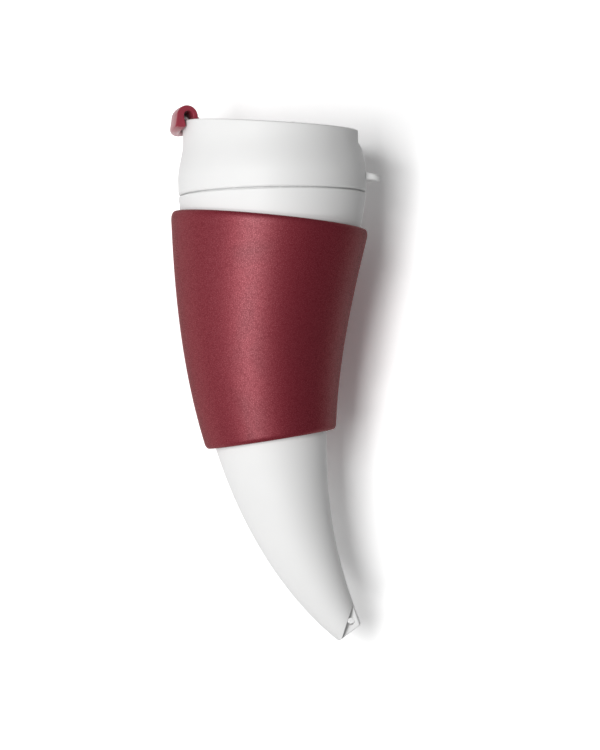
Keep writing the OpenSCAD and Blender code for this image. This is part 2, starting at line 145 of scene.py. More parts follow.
mesh = bpy.data.meshes.new("white_sheet")
low_edge, high_edge = [[(x, rest_y + (z - rest_z) * sheet_lean, z) for x in (sheet_left, sheet_right)]
                       for z in (-sheet_tall, sheet_tall)]
mesh.from_pydata(low_edge + high_edge[::-1], [], [(0, 1, 2, 3)])
white_sheet = bpy.data.objects.new("white_sheet", mesh)
scene.collection.objects.link(white_sheet)

sheet_look = bpy.data.materials.new("white_sheet")
sheet_look.use_nodes = True
tree = sheet_look.node_tree
tree.nodes.remove(tree.nodes["Principled BSDF"])
rays = node(tree, "LightPath").outputs
mirrored = calc(tree, rays["Is Glossy Ray"], rays["Is Transmission Ray"], "MAXIMUM")
seen = calc(tree, rays["Is Camera Ray"], mirrored, "MAXIMUM")
lit = node(tree, "BsdfDiffuse", {"Color": sheet_white})
shown = node(tree, "BsdfDiffuse", {"Color": shown_white})
paper = node(tree, "MixShader", {0: seen, 1: lit.outputs[0], 2: shown.outputs[0]})
behind = node(tree, "NewGeometry").outputs["Backfacing"]
open_side = calc(tree, behind, rays["Is Shadow Ray"], "MAXIMUM")
clear = node(tree, "BsdfTransparent")
whole = node(tree, "MixShader", {0: open_side, 1: paper.outputs[0], 2: clear.outputs[0]})
tree.links.new(whole.outputs[0], tree.nodes["Material Output"].inputs["Surface"])
mesh.materials.append(sheet_look)
print("sheet faces", mesh.polygons[0].normal)

# %% [markdown]
# ## Mesh helpers
# Nearly all pieces are lofts: rows of points with quads between them. A small class gathers the
# points and faces of one piece and welds them into a closed mesh. Corners are rounded in the rows
# themselves, because moulded plastic and cut leather have no razor edges.

# %% Forms
weld = 2e-6
crease = math.radians(40)


class Form:
    """Points and faces of one piece, gathered before Blender gets them."""

    def __init__(self):
        self.points = []
        self.faces = []

    def grid(self, points, wrap_rows=False, wrap_columns=False):
        """Adds a grid of points, rows by columns, with quads between them."""
        first = len(self.points)
        rows, columns = points.shape[:2]
        self.points += points.reshape(-1, 3).tolist()
        for r in range(rows if wrap_rows else rows - 1):
            low, high = first + r * columns, first + (r + 1) % rows * columns
            for c in range(columns if wrap_columns else columns - 1):
                right = (c + 1) % columns
                self.faces.append([low + c, low + right, high + right, high + c])

    def cap(self, points):
        """Adds one face through a loop of points."""
        first = len(self.points)
        self.points += np.asarray(points).tolist()
        self.faces.append(list(range(first, first + len(points))))

    def bar(self, rings):
        """Adds rings with quads between them and a face over each end."""
        self.grid(rings, wrap_columns=True)
        self.cap(rings[0])
        self.cap(rings[-1])

    def build(self, name):
        """Welds the form into an object whose normals point outwards."""
        made = bpy.data.meshes.new(name)
        made.from_pydata(self.points, [], self.faces)
        bm = bmesh.new()
        bm.from_mesh(made)
        bmesh.ops.remove_doubles(bm, verts=bm.verts, dist=weld)
        bmesh.ops.recalc_face_normals(bm, faces=bm.faces)
        open_edges = sum(not edge.is_manifold for edge in bm.edges)
        bm.to_mesh(made)
        bm.free()
        obj = bpy.data.objects.new(name, made)
        scene.collection.objects.link(obj)
        print(f"{name}: {len(made.polygons)} faces, {open_edges} open edges")
        return obj


def lofted(name, points, **wraps):
    """An object made of one grid of points."""
    form = Form()
    form.grid(points, **wraps)
    return form.build(name)


# %% Rounded corners
corner_share = 0.45
fine_round, small_round, plain_round = 0.0002, 0.0003, 0.0004
soft_round, full_round = 0.0005, 0.0006


def bend(start, corner, end, steps=4):
    """Points of a curve from start to end that is drawn towards a corner."""
    t = np.linspace(0, 1, steps + 1)[:, None]
    return (1 - t) ** 2 * np.array(start) + 2 * t * (1 - t) * np.array(corner) + t ** 2 * np.array(end)


def soften(corners, closed=False):
    """A line through corners (x, y, round): each corner with a round becomes a small curve."""
    places = np.array([c[:2] for c in corners])
    line = []
    for i, round_off in enumerate(c[2] for c in corners):
        if round_off == 0 or not closed and i in (0, len(corners) - 1):
            line.append([places[i]])
            continue
        back, ahead = places[i - 1] - places[i], places[(i + 1) % len(corners)] - places[i]
        reach = min(round_off, corner_share * np.hypot(*back), corner_share * np.hypot(*ahead))
        line.append(bend(places[i] + back / np.hypot(*back) * reach, places[i],
                         places[i] + ahead / np.hypot(*ahead) * reach))
    return np.concatenate(line)


# %% Turned forms, modifiers and cuts
bore_sides = 64


def spun(r, h, turn):
    """Points at a radius, a height and an angle round the Z axis."""
    return np.stack(np.broadcast_arrays(r * np.cos(turn), r * np.sin(turn), h), axis=-1)


def full_turn(sides):
    """Even angles all the way round."""
    return np.linspace(0, 2 * math.pi, sides, endpoint=False)


def turned(profile, sides):
    """Rows of points (radius, height) turned all the way round the Z axis."""
    r, h = np.array(profile).T[:, :, None]
    return spun(r, h, full_turn(sides))


def placed(points, matrix):
    """Points moved by a matrix."""
    turn = np.array(matrix.to_3x3())
    return points @ turn.T + np.array(matrix.translation)


def settle(obj):
    """Turns an object's modifiers into plain mesh."""
    seen_now = obj.evaluated_get(bpy.context.evaluated_depsgraph_get())
    old, obj.data = obj.data, bpy.data.meshes.new_from_object(seen_now)
    obj.modifiers.clear()
    bpy.data.meshes.remove(old)


def combine(obj, tool, operation):
    """Joins a tool to an object, or cuts it out, and throws the tool away."""
    step = obj.modifiers.new(operation, "BOOLEAN")
    step.operation = operation
    step.solver = "EXACT"
    step.object = tool
    settle(obj)
    bpy.data.objects.remove(tool)


def round_edges(obj, width, segments=3):
    """Rounds the sharp edges of an object."""
    step = obj.modifiers.new("round", "BEVEL")
    step.width = width
    step.segments = segments
    step.limit_method = "ANGLE"
    step.angle_limit = crease
    step.use_clamp_overlap = False
    settle(obj)


def drill(obj, matrix, radius, length, lip):
    """Drills along the matrix's Z, from its origin down, and leaves both mouths of the hole rounded."""
    curve = np.linspace(0, math.pi / 2, 5)
    flare = [(radius + lip * (1 - math.cos(a)), -lip + lip * math.sin(a)) for a in curve]
    wide = radius + lip
    top = flare + [(wide, 2 * lip), (0, 2 * lip)]
    bottom = [(0, -length - 2 * lip), (wide, -length - 2 * lip)]
    bottom += [(r, -length - h) for r, h in reversed(flare)]
    tool = lofted("drill", placed(turned(bottom + top, bore_sides), matrix), wrap_columns=True)
    combine(obj, tool, "DIFFERENCE")


# %% Dressing a piece
def dress(obj, look, body, stands_for):
    """Gives a piece its finish, shades it smooth and hands it to its CAD body."""
    bm = bmesh.new()
    bm.from_mesh(obj.data)
    for edge in bm.edges:
        edge.smooth = edge.calc_face_angle(0.0) < crease
    for face in bm.faces:
        face.smooth = True
        face.material_index = 0
    bm.to_mesh(obj.data)
    bm.free()
    step = obj.modifiers.new("even normals", "WEIGHTED_NORMAL")
    step.keep_sharp = True
    settle(obj)
    obj.data.materials.clear()
    obj.data.materials.append(look)
    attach(obj, body)
    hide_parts(stands_for)
    size = [round(x * 1000, 1) for x in obj.dimensions]
    print(f"{obj.name} rides on {body}: {size} mm, {len(obj.data.polygons)} faces")


# %% [markdown]
# ## Effects that several finishes share
# Plastic, silicone, leather and felt show the same few things: a grain with a slow drift of tone,
# sharp edges, smudges and scuffs, and fibres. Each is a node group with its own inputs, so a finish
# sets how many there are to a metre and, for the edges, how sharp an edge has to be. The edge mask
# carries wear, and also painted light: a painted highlight on the lever and painted shade on the leather.
# A group gives out values, no shader.

# %% Effect groups
def effect(name, inputs, outputs):
    """An empty node group with named number inputs and outputs."""
    tree = bpy.data.node_groups.new(name, "ShaderNodeTree")
    for label, value in inputs.items():
        socket = tree.interface.new_socket(label, in_out="INPUT", socket_type="NodeSocketFloat")
        socket.default_value = value
    for label in outputs:
        tree.interface.new_socket(label, in_out="OUTPUT", socket_type="NodeSocketFloat")
    return tree, tree.nodes.new("NodeGroupInput").outputs, tree.nodes.new("NodeGroupOutput").inputs


def object_spot(tree):
    """The place of a point on its own object, which no move of the object changes."""
    return node(tree, "TexCoord").outputs["Object"]


def noise(tree, spot, per_metre, detail, distortion=0):
    """A soft random value that changes so many times per metre."""
    return node(tree, "TexNoise", {"Vector": spot, "Scale": per_metre, "Detail": detail,
                                   "Distortion": distortion}).outputs["Fac"]


def span(tree, value, to_low, to_high, low=0, high=1):
    """Maps a value that runs from low to high to another range, and stops at the ends."""
    return node(tree, "MapRange", {"Value": value, "From Min": low, "From Max": high,
                                   "To Min": to_low, "To Max": to_high}).outputs["Result"]


# %% Grain
grain, given, out = effect("grain", {"Grain per m": 2500, "Drift per m": 40}, ["Height", "Drift"])
spot = object_spot(grain)
grain.links.new(noise(grain, spot, given["Grain per m"], detail=3), out["Height"])
slow = noise(grain, spot, given["Drift per m"], detail=2)
grain.links.new(span(grain, slow, 0, 1, low=0.3, high=0.7), out["Drift"])

# %% Sharp edges: wear, and painted light on the lever and the leather
sharp_edges, given, out = effect("sharp edges", {"From": 0.52, "To": 0.60, "Breakup per m": 500}, ["Wear"])
point = node(sharp_edges, "NewGeometry").outputs["Pointiness"]
edge = span(sharp_edges, point, 0, 1, given["From"], given["To"])
broken = noise(sharp_edges, object_spot(sharp_edges), given["Breakup per m"], detail=3)
patch = span(sharp_edges, broken, 0.3, 1, low=0.3, high=0.6)
sharp_edges.links.new(calc(sharp_edges, edge, patch, "MULTIPLY"), out["Wear"])

# %% Smudges and scuffs
handled, given, out = effect("handled", {"Smudge per m": 55, "Scuff per m": 900},
                             ["Smudge", "Scuff"])
spot = object_spot(handled)
smear = noise(handled, spot, given["Smudge per m"], detail=4, distortion=1.2)
handled.links.new(span(handled, smear, 0, 1, low=0.35, high=0.65), out["Smudge"])
drawn = node(handled, "Mapping", {"Vector": spot, "Scale": (1, 1, 0.05), "Rotation": (0.5, 0.3, 0)})
lines = noise(handled, drawn.outputs["Vector"], given["Scuff per m"], detail=2)
handled.links.new(span(handled, lines, 0, 1, low=0.66, high=0.74), out["Scuff"])

# %% Fibres
fibres, given, out = effect("fibres", {"Fibre per m": 3000, "Clump per m": 300}, ["Height", "Tone"])
spot = object_spot(fibres)
fibres.links.new(noise(fibres, spot, given["Fibre per m"], detail=5, distortion=2.5), out["Height"])
clump = noise(fibres, spot, given["Clump per m"], detail=3)
fibres.links.new(span(fibres, clump, 0, 1, low=0.3, high=0.7), out["Tone"])
print("effects:", [g.name for g in bpy.data.node_groups])

# %% Finishes start alike
def spaced(values):
    """The same values under socket names, which have spaces where Python's names have _."""
    return {label.replace("_", " "): value for label, value in values.items()}


def finish(name, **fixed):
    """A material with a Principled shader, with the sockets that are the same all over set."""
    look = bpy.data.materials.new(name)
    look.use_nodes = True
    shader = look.node_tree.nodes["Principled BSDF"]
    for label, value in spaced(fixed).items():
        shader.inputs[label].default_value = value
    return look, look.node_tree


def use(tree, group, **values):
    """Places an effect group with its own values, and gives its outputs."""
    return node(tree, "Group", spaced(values), node_tree=group).outputs


def blend_tones(tree, share, low, high):
    """A colour between two tones, or other nodes' colours, by a share from 0 to 1."""
    low, high = [tone + (1,) if isinstance(tone, tuple) else tone for tone in (low, high)]
    return node(tree, "Mix", {"Factor": share, 6: low, 7: high}, data_type="RGBA").outputs[2]


def relief(tree, height, depth, strength):
    """A bump of a given depth, as a normal."""
    bump = node(tree, "Bump", {"Height": height, "Distance": depth, "Strength": strength})
    return bump.outputs["Normal"]


def link(look, **sources):
    """Links what changes over the surface to the material's shader."""
    tree = look.node_tree
    for label, source in spaced(sources).items():
        tree.links.new(source, tree.nodes["Principled BSDF"].inputs[label])
    print(f"{look.name}: {len(tree.nodes)} nodes")


# %% [markdown]
# ## White plastic
# The horn and the lid are moulded from the same opaque white plastic with a satin, faintly textured
# skin. The photograph shows no sharp reflection on it, so the shader is rough, with a very fine
# grain as bump, a slow drift between two near-whites and smudges that dull it a little more.

# %% White plastic
white_plastic, tree = finish("white_plastic", IOR=1.5)
moulded = use(tree, grain, Grain_per_m=2600, Drift_per_m=30)
touched = use(tree, handled, Smudge_per_m=45)
edge_mask = use(tree, sharp_edges, From=0.53, To=0.62, Breakup_per_m=600)
body_tone = blend_tones(tree, moulded["Drift"], (0.855, 0.855, 0.850), (0.880, 0.880, 0.876))
link(white_plastic,
     Base_Color=blend_tones(tree, edge_mask["Wear"], body_tone, (0.80, 0.80, 0.79)),
     Roughness=span(tree, touched["Smudge"], 0.56, 0.66),
     Normal=relief(tree, moulded["Height"], depth=0.00006, strength=0.25))

# %% [markdown]
# ## The horn's curve
# The horn is round in every cross-section. Its axis leans a little to one side at the mouth and
# swings further and further to the other towards the tip, and its radius falls with a power of the
# length that is left. Two short formulas therefore give the whole form, and the sleeve follows them.

# %% Axis and radius of the horn
mouth_r = 0.0440
horn_len = 0.2130
point_run = 0.0182
taper_power = 0.747
mouth_lean = math.radians(-7)
tip_lean = math.radians(36)
bend_power = 1.71
mouth_z = 0.0630
settle_len = 0.0100


def ease(t):
    """Smooth step from 0 to 1."""
    t = np.clip(t, 0, 1)
    return t * t * (3 - 2 * t)


def lean(s):
    """Lean of the axis at a length s from the mouth."""
    return mouth_lean + (tip_lean - mouth_lean) * (s / horn_len) ** bend_power


def horn_r(s):
    """Outside radius at a length s from the mouth."""
    return mouth_r * (1 - s / (horn_len + point_run)) ** taper_power


axis_steps = 2000
axis_s = np.linspace(0, horn_len, axis_steps + 1)
middle_lean = lean((axis_s[1:] + axis_s[:-1]) / 2)
axis_x = np.concatenate([[0], np.cumsum(np.sin(middle_lean))]) * horn_len / axis_steps
axis_z = mouth_z - np.concatenate([[0], np.cumsum(np.cos(middle_lean))]) * horn_len / axis_steps


def across_horn(s, inwards, sideways):
    """Points of a cross-section: inwards is towards the inside of the bend, sideways is +Y."""
    tilt = lean(s) * ease(s / settle_len)
    x = np.interp(s, axis_s, axis_x) + inwards * np.cos(tilt)
    z = np.interp(s, axis_s, axis_z) + inwards * np.sin(tilt)
    return np.stack(np.broadcast_arrays(x, sideways, z), axis=-1)


def round_horn(s, r, turn):
    """Points at a radius and an angle round the horn's axis."""
    return across_horn(s, r * np.cos(turn), r * np.sin(turn))


print("tip of the axis:", round(axis_x[-1], 4), round(axis_z[-1], 4))

# %% [markdown]
# ## Horn body
# The tip is cut square and both its sides are milled flat, which leaves a lug with a hole for a
# cord. Up to the lug the rows are plain circles. From there each row is a circle whose two sides
# step in to the lug, with the same number of points in every row, so that the edges of the lug
# run along the mesh and can be rounded. At the mouth the rows turn in to the neck that the lid
# covers, and then run down inside to the solid tip.

# %% Sizes of the horn's neck, cavity and lug
skirt_wall = 0.0022
lid_clear = 0.00025
neck_h = 0.0110
neck_wall = 0.0020
neck_r = mouth_r - skirt_wall - lid_clear
neck_in_r = neck_r - neck_wall
horn_wall = 0.0022
solid_tip = 0.0260
cavity_stop = horn_len - solid_tip
cavity_end = 0.0120
shoulder_round = 0.0008
neck_round = 0.0006
lug_half = 0.0030
lug_back = 0.0104
lug_in = 0.0048
lug_round = 0.0005
lug_slope = (horn_r(horn_len - lug_back) + lug_in) / lug_back
cap_steps = 8
side_steps = 64
print("neck radius:", round(neck_r, 5), "lug:", 2 * lug_half, "thick")

# %% Rows of the lug
search_share = 1.2
halvings = 60


def lug_step(s):
    """How far inwards the lug's step lies at a length s from the mouth."""
    return lug_slope * (horn_len - s) - lug_in


def lug_row(s, inset=0.0):
    """Half of a row from the inside of the bend to the outside, as (inwards, sideways)."""
    r, half = horn_r(s) - inset, lug_half - inset
    step = lug_step(s) - inset
    cap, side = math.asin(half / r), math.acos(step / r)
    flat, rise = r * math.cos(cap) - step, r * math.sin(side) - half
    turn = min(lug_round, corner_share * max(flat, 0), corner_share * max(rise, 0))

    def on_arc(a):
        return np.stack([r * np.cos(a), r * np.sin(a)], axis=-1)

    edge, inner, outer = on_arc(cap), np.array([step, half]), on_arc(side)
    along, up = np.array([turn, 0]), np.array([0, turn])
    return np.concatenate([
        on_arc(np.linspace(0, cap - turn / r, cap_steps + 1)),
        bend(on_arc(cap - turn / r), edge, edge - along),
        np.linspace(edge - along, inner + along, 7)[1:-1],
        bend(inner + along, inner, inner + up),
        np.linspace(inner + up, outer - up, 4)[1:-1],
        bend(outer - up, outer, on_arc(side + turn / r)),
        on_arc(np.linspace(side + turn / r, math.pi, side_steps + 1))])


def both_sides(half_row):
    """A whole row from its half, by mirroring it to the other side."""
    return np.concatenate([half_row, half_row[-2:0:-1] * (1, -1)])


low, high = horn_len - search_share * lug_back, horn_len
for _ in range(halvings):
    lug_start = (low + high) / 2
    flat_edge = math.sqrt(horn_r(lug_start) ** 2 - lug_half ** 2)
    low, high = (lug_start, high) if flat_edge < lug_step(lug_start) else (low, lug_start)
print("lug starts", round((horn_len - lug_start) * 1000, 2), "mm from the tip")

# %% Build the horn
lug_rows, body_rows, cavity_rows, round_rows = 40, 130, 90, 6
nudge = 1e-9

form = Form()
curl = np.linspace(math.pi / 2, 0, round_rows)
tip_rows = [(horn_len - lug_round * (1 - math.sin(a)), lug_round * (1 - math.cos(a))) for a in curl]
tip_rows += [(s, 0.0) for s in np.linspace(horn_len - lug_round, lug_start + nudge, lug_rows)[1:]]
loops = [across_horn(s, *both_sides(lug_row(s, inset)).T) for s, inset in tip_rows]
form.grid(np.array(loops), wrap_columns=True)
form.cap(loops[0])

cap_turn = math.asin(lug_half / horn_r(lug_start))
half_turns = np.concatenate([np.linspace(0, cap_turn, cap_steps + 1)[:-1],
                             np.linspace(cap_turn, math.pi, side_steps + 1)])
turns = np.concatenate([half_turns, -half_turns[-2:0:-1]])


def cavity_r(s):
    """Radius of the space for the drink, which ends in a round."""
    deep = max(0.0, (s - cavity_stop + cavity_end) / cavity_end)
    return min(horn_r(s) - horn_wall, neck_in_r) * math.sqrt(max(0.0, 1 - deep ** 2))


rows = [round_horn(s, horn_r(s), turns) for s in np.linspace(lug_start, shoulder_round, body_rows)]
for a in np.linspace(0, math.pi / 2, round_rows)[1:]:
    s = shoulder_round * (1 - math.sin(a))
    rows.append(round_horn(s, horn_r(s) - shoulder_round * (1 - math.cos(a)), turns))
neck_line = soften([(neck_r + neck_round, 0, 0), (neck_r, 0, neck_round), (neck_r, neck_h, neck_round),
                    (neck_in_r, neck_h, neck_round), (neck_in_r, neck_round, 0)])
rows += [spun(r, mouth_z + h, turns) for r, h in neck_line]
down = np.sin(np.linspace(0, math.pi / 2, cavity_rows)) * cavity_stop
rows += [round_horn(s, cavity_r(s), turns) for s in down]
form.grid(np.array(rows), wrap_columns=True)
horn_body = form.build("horn")

# %% Drill the strap hole
strap = next(m for m in frame["record"]["mounts"] if m["name"] == "strap_hole")
strap_axis = Matrix.Rotation(math.radians(90), 4, "X")
strap_place = Vector(strap["pos_m"]) - Vector((0, lug_half, 0))
strap_r = strap["dims"]["r_mm"] / 1000
drill(horn_body, Matrix.Translation(strap_place) @ strap_axis, strap_r, 2 * lug_half, plain_round)
dress(horn_body, white_plastic, "horn", "horn_body")

# %% [markdown]
# ## Lid
# The lid is nearly a turned form: a skirt over the neck, a waist, and a rim that slopes down from
# the sip side and dips at both sides. So it is lofted round the axis, with a cross-section for
# each angle. The section starts on the deck in the middle, climbs the inside of the rim, comes
# down the outside, turns round the skirt and the plug ring and ends under the deck. A flat with a
# slanted ledge for the thumb is pressed into the outside above the pull tab.

# %% Sizes of the lid
lid_h = 0.0319
rim_slope = math.tan(math.radians(4.4))
waist_in = 0.0027
waist_r = mouth_r - waist_in
rim_wall = 0.0022
saddle_dip = 0.0016
saddle_r = waist_r ** 2 / (2 * saddle_dip)
skirt_h = 0.0080
waist_h = 0.0260
lip_out = 0.0005
lip_h = 0.0363
deck_depth = 0.0090
deck_t = 0.0020
seam_gap = 0.0006
skirt_chamfer = skirt_wall / 3
skirt_in_r = mouth_r - skirt_wall
plug_clear = 0.00135
plug_wall = 0.0024
plug_len = 0.0090
plug_r = neck_in_r - plug_clear
plug_in_r = plug_r - plug_wall
plug_h = neck_h - plug_len
gasket_t = 0.0040
groove_depth = 0.0010
groove_r = plug_r - groove_depth
groove_h = plug_h + (plug_len - gasket_t) / 2
floor_h = neck_h + skirt_wall
print("waist radius:", round(waist_r, 5), "plug radius:", round(plug_r, 5))

# %% Outside of the lid
flat_in = 0.0009
flat_r = waist_r - flat_in
flat_h = 0.0226
flat_soft = 0.00009
flat_from = 0.7
shoulder_out = 0.0005
shoulder_rise = 0.006
shoulder_spread = 0.25


def lid_r(h):
    """Outside radius of the lid at a height over the shoulder."""
    waist = mouth_r - waist_in * ease((h - skirt_h) / (waist_h - skirt_h))
    return waist + lip_out * np.clip((h - waist_h) / (lip_h - waist_h), 0, None) ** 2


def outside_r(h, turn):
    """Outside radius with the thumb flat, which meets the round of the lid softly."""
    facing = math.cos(turn)
    if facing < flat_from:
        return lid_r(h)
    flat = (flat_r + max(0.0, flat_h - h)) / facing
    shoulder = ease((h - skirt_h) / shoulder_rise) * ease((facing - flat_from) / shoulder_spread)
    full = lid_r(h) + shoulder_out * shoulder
    return -flat_soft * np.logaddexp(-full / flat_soft, -flat / flat_soft)


# %% Cross-section of the lid
deck_round, rim_in_round, rim_round = 0.0013, 0.0008, 0.0009
below_rim = 0.0022
ledge_top, ledge_foot = flat_h + 0.0006, flat_h - 0.0046


def lid_section(turn):
    """The lid's section at an angle round the axis, as (radius, height over the shoulder)."""
    c, s = math.cos(turn), math.sin(turn)
    wall_r = waist_r - rim_wall

    def rim(r):
        return lid_h - r * c * rim_slope - (r * s) ** 2 / (2 * saddle_r)

    def deck(r):
        return lid_h - deck_depth - r * c * rim_slope

    rim_out = outside_r(rim(waist_r), turn)
    heights = np.concatenate([np.linspace(rim(rim_out) - below_rim, waist_h, 6),
                              np.linspace(waist_h, ledge_top, 5)[1:],
                              np.linspace(ledge_top, ledge_foot, 18)[1:],
                              np.linspace(ledge_foot, skirt_h, 14)[1:]])
    hollow_r = lid_r(floor_h) - rim_wall
    return soften([
        (0, deck(0), 0), (wall_r, deck(wall_r), deck_round), (wall_r, rim(wall_r), rim_in_round),
        (rim_out, rim(rim_out), rim_round), *[(outside_r(h, turn), h, 0) for h in heights],
        (mouth_r, seam_gap + skirt_chamfer, soft_round), (mouth_r - skirt_chamfer, seam_gap, plain_round),
        (skirt_in_r, seam_gap, small_round), (skirt_in_r, neck_h, small_round),
        (plug_r, neck_h, small_round), (plug_r, groove_h + gasket_t, fine_round),
        (groove_r, groove_h + gasket_t, fine_round), (groove_r, groove_h, fine_round),
        (plug_r, groove_h, fine_round), (plug_r, plug_h, full_round), (plug_in_r, plug_h, full_round),
        (plug_in_r, floor_h, plain_round), (hollow_r, floor_h, soft_round),
        (wall_r, deck(wall_r) - deck_t, full_round), (0, deck(0) - deck_t, 0)])


# %% Loft the lid
lid_sides = 264
lid_rows = []
for turn in full_turn(lid_sides):
    r, h = lid_section(turn).T
    lid_rows.append(spun(r, mouth_z + h, turn))
lid_shell = lofted("lid", np.array(lid_rows), wrap_rows=True)

# %% [markdown]
# ## What the lid carries
# A small tab stands out of the skirt for the thumb that pulls the lid off. Two ears on the deck hold
# the lever's pin. Both are modelled as their own closed forms and then joined to the lid. The sip
# hole, the air vent and the pin's bore are drilled with tools that flare at their mouths.

# %% Pull tab
tab_out = 0.0067
tab_half = 0.0065
tab_corner = 0.0055
tab_h = 0.0078
tab_root_t = 0.0033
tab_end_t = 0.0029
tab_end_round = 0.0014
tab_side_round = 0.0007
tab_slope = math.tan(math.radians(9))
tab_root = skirt_wall / 2
tab_levels = 25


def drawn_in(level, edge):
    """How far a rounded edge is drawn in at a level between the tab's two faces."""
    past = max(0.0, abs(level) - (tab_root_t / 2 - edge))
    return edge - math.sqrt(max(0.0, edge ** 2 - past ** 2))


def tab_row(level):
    """Outline of the tab at a level over its middle plane, round its two outer corners."""
    end = tab_out - drawn_in(level, tab_end_round)
    side = tab_half - drawn_in(level, tab_side_round)
    quarter = np.radians(np.linspace(0, 90, 9))
    arc_x = end - tab_corner + tab_corner * np.cos(quarter)
    arc_y = side - tab_corner + tab_corner * np.sin(quarter)
    straight = np.linspace(arc_x[-1], -tab_root, 8)[1:]
    x = np.concatenate([arc_x, straight])
    y = np.concatenate([arc_y, np.full(len(straight), side)])
    x, y = np.concatenate([x, x[::-1]]), np.concatenate([y, -y[::-1]])
    thin = 1 - (1 - tab_end_t / tab_root_t) * np.clip(x / tab_out, 0, 1)
    return np.stack([mouth_r + x, y, mouth_z + tab_h + level * thin - x * tab_slope], axis=-1)


form = Form()
levels = tab_root_t / 2 * np.sin(np.linspace(-math.pi / 2, math.pi / 2, tab_levels))
form.bar(np.array([tab_row(level) for level in levels]))
combine(lid_shell, form.build("pull_tab"), "UNION")

# %% Ears for the pin
pin_low, pin_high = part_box("lever_pin")
pivot = (pin_low + pin_high) / 2
pin_r = (pin_high.z - pin_low.z) / 2
pin_half = (pin_high.y - pin_low.y) / 2
barrel_wall = 0.0017
barrel_r = pin_r + barrel_wall
ear_t = 0.0030
ear_flare = 0.0008
ear_foot = mouth_z + lid_h - pivot.x * rim_slope - deck_depth - deck_t / 2
foot_half = barrel_r + ear_flare

crown = np.linspace(0, math.pi, 17)
ear_line = [(-foot_half, ear_foot), (foot_half, ear_foot), (barrel_r, ear_foot + deck_t)]
ear_line += [(barrel_r * math.cos(a), pivot.z + barrel_r * math.sin(a)) for a in crown]
ear_line += [(-barrel_r, ear_foot + deck_t)]
for side in (-1, 1):
    form = Form()
    faces_y = (side * pin_half, side * (pin_half - ear_t))
    form.bar(np.array([[(pivot.x + x, y, z) for x, z in ear_line] for y in faces_y]))
    ear = form.build("pin_ear")
    round_edges(ear, plain_round)
    combine(lid_shell, ear, "UNION")

# %% Drill the sip hole, the vent and the pin's bore
sip_in = 0.0133
sip_x = -(waist_r - sip_in)
sip_r = 0.0055
vent_x = (pivot.x + waist_r) / 2
vent_r = 0.0010
deck_tilt = Matrix.Rotation(math.atan(rim_slope), 4, "Y")
for x, r, lip in ((sip_x, sip_r, soft_round), (vent_x, vent_r, small_round)):
    place = Matrix.Translation((x, 0, mouth_z + lid_h - deck_depth - x * rim_slope))
    drill(lid_shell, place @ deck_tilt, r, deck_t, lip)

pin_clear = 0.00003
along_y = Matrix.Rotation(math.radians(-90), 4, "X")
pin_end = Matrix.Translation((pivot.x, pin_half, pivot.z)) @ along_y
drill(lid_shell, pin_end, pin_r + pin_clear, 2 * pin_half, fine_round)
dress(lid_shell, white_plastic, "lid", "lid_shell")

# %% [markdown]
# ## Gasket
# A soft ring with two lips sits in the groove of the plug ring and seals against the neck. It shows
# only when the lid is off. It is a turned form, and its silicone is a little see-through, which a
# touch of subsurface scattering gives.

# %% Silicone of the gasket
seal_silicone, tree = finish("seal_silicone", IOR=1.41, Subsurface_Weight=0.25, Subsurface_Scale=0.001)
moulded = use(tree, grain, Grain_per_m=1800, Drift_per_m=60)
touched = use(tree, handled, Smudge_per_m=120)
link(seal_silicone,
     Base_Color=blend_tones(tree, moulded["Drift"], (0.70, 0.69, 0.66), (0.76, 0.75, 0.72)),
     Roughness=span(tree, touched["Smudge"], 0.48, 0.62),
     Normal=relief(tree, moulded["Height"], depth=0.00005, strength=0.3))

# %% Turn the gasket
lip_clear = 0.00015
lip_r = neck_in_r - lip_clear
lip_t = gasket_t / 4
seal_sides = 200
waist_of_seal = plug_r + (lip_r - plug_r) / 3
lower = [(groove_r, 0, fine_round), (plug_r, 0, small_round),
         (lip_r, lip_t / 2, fine_round), (lip_r, lip_t, fine_round)]
upper = [(r, gasket_t - h, edge_round) for r, h, edge_round in reversed(lower)]
seal_line = soften(lower + [(waist_of_seal, 2 * lip_t, soft_round)] + upper, closed=True)
seal_points = turned(seal_line, seal_sides) + (0, 0, mouth_z + groove_h)
gasket = lofted("gasket", seal_points, wrap_rows=True, wrap_columns=True)
dress(gasket, seal_silicone, "lid", "lid_gasket")

# %% [markdown]
# ## Sip lever
# One glossy red moulding: a barrel that turns on the pin, a flat arm across the deck and a hook that
# wraps over the rim as a thumb grip, with a tongue that thickens to a round toe outside. The hook
# follows the rim, so one section is swept round the lid's axis. Its toe is cut along a bow, which
# lifts the lower edge at both ends. The arm's slices take the place of a strip of the hook's leg.

# %% Red plastic
red_plastic, tree = finish("red_plastic", IOR=1.5, Specular_IOR_Level=0.26)
moulded = use(tree, grain, Grain_per_m=1500, Drift_per_m=80)
touched = use(tree, handled, Smudge_per_m=150, Scuff_per_m=1200)
edge_mask = use(tree, sharp_edges, From=0.55, To=0.68, Breakup_per_m=900)
body_tone = blend_tones(tree, moulded["Drift"], (0.295, 0.036, 0.058), (0.330, 0.043, 0.066))
matt = calc(tree, span(tree, touched["Smudge"], 0.28, 0.36), span(tree, touched["Scuff"], 0, 0.12))
# Lighter edges: partly wear, partly a painted highlight along the lever's edges.
link(red_plastic,
     Base_Color=blend_tones(tree, edge_mask["Wear"], body_tone, (0.44, 0.10, 0.11)),
     Roughness=matt,
     Normal=relief(tree, moulded["Height"], depth=0.00005, strength=0.2))

